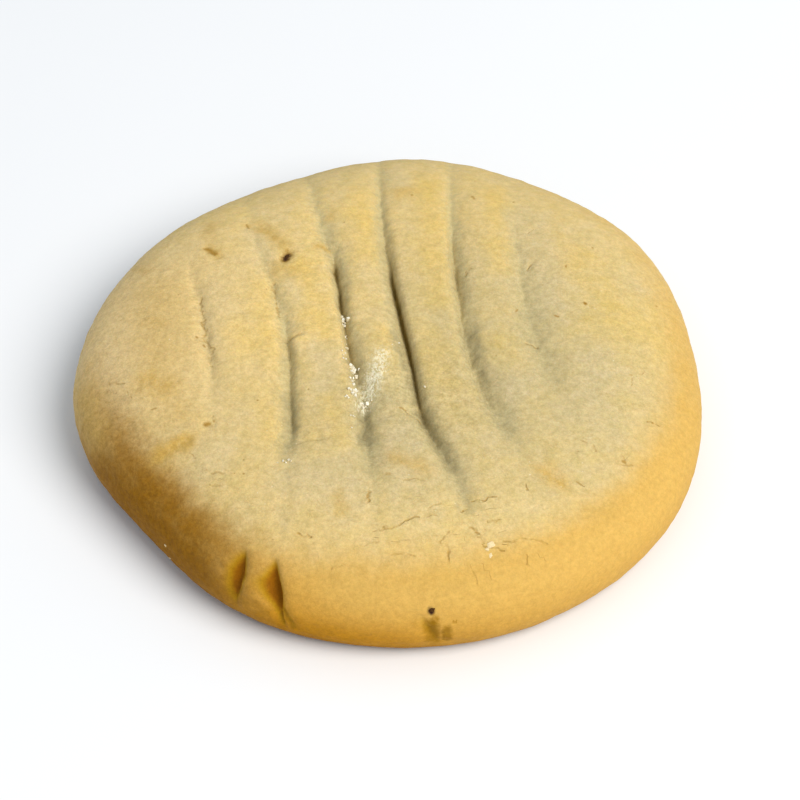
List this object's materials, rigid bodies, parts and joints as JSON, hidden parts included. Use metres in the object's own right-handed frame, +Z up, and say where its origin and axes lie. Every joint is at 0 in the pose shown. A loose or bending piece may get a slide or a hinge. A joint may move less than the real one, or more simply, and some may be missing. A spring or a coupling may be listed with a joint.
{
  "type": "walnut cookie",
  "caption": "Round walnut cookie: a thick disc of pale baked dough, with curved fork furrows across its top, a rounded golden rim with a pinched fold, and a flat base.",
  "frame": {"origin": "on the surface it rests on, under the middle of the cookie's outline", "axes": "+Z up through the thickness, +Y towards the end where the fork furrows run over the rim, +X to the right seen from the front"},
  "size_m": [0.0702, 0.0704, 0.0139],
  "materials": {
    "baked_dough": "matt, dry baked dough: pale yellow on top, greyer in the fork furrows, golden to brown round the rim and under the base"
  },
  "bodies": {
    "root": {"cookie": "baked_dough"}
  },
  "joints": []
}
